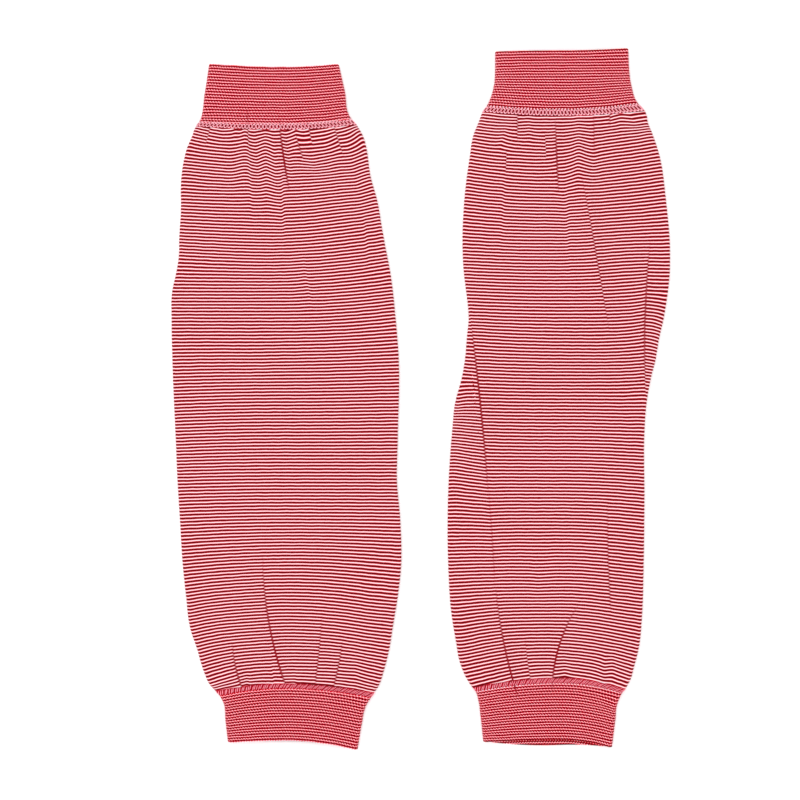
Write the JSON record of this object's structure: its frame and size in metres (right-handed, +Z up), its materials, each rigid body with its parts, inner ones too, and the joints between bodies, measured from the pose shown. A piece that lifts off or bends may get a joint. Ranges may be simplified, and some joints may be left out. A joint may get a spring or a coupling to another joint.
{
  "type": "pair of sport arm sleeves",
  "caption": "Knitted sport arm sleeves laid flat side by side: fine striped jersey tubes gathered into ribbed cuffs at both ends.",
  "frame": {"origin": "middle of the pair's outline, on the surface it lies on", "axes": "+X to the right across both sleeves, +Y along the sleeves towards the upper cuffs, +Z up, away from the surface"},
  "size_m": [0.2918, 0.4105, 0.0047],
  "materials": {
    "jersey": "fine cotton jersey with narrow red and white stripes, dull",
    "rib": "one by one cotton rib with tight red and pink stripes, dull",
    "linking": "row of upright pink yarn loops, dull"
  },
  "bodies": {
    "root": {"left_upper_cuff": "rib", "left_upper_band": "linking", "left_body": "jersey", "left_lower_band": "linking", "left_lower_cuff": "rib", "right_upper_cuff": "rib", "right_upper_band": "linking", "right_body": "jersey", "right_lower_band": "linking", "right_lower_cuff": "rib"}
  },
  "joints": []
}
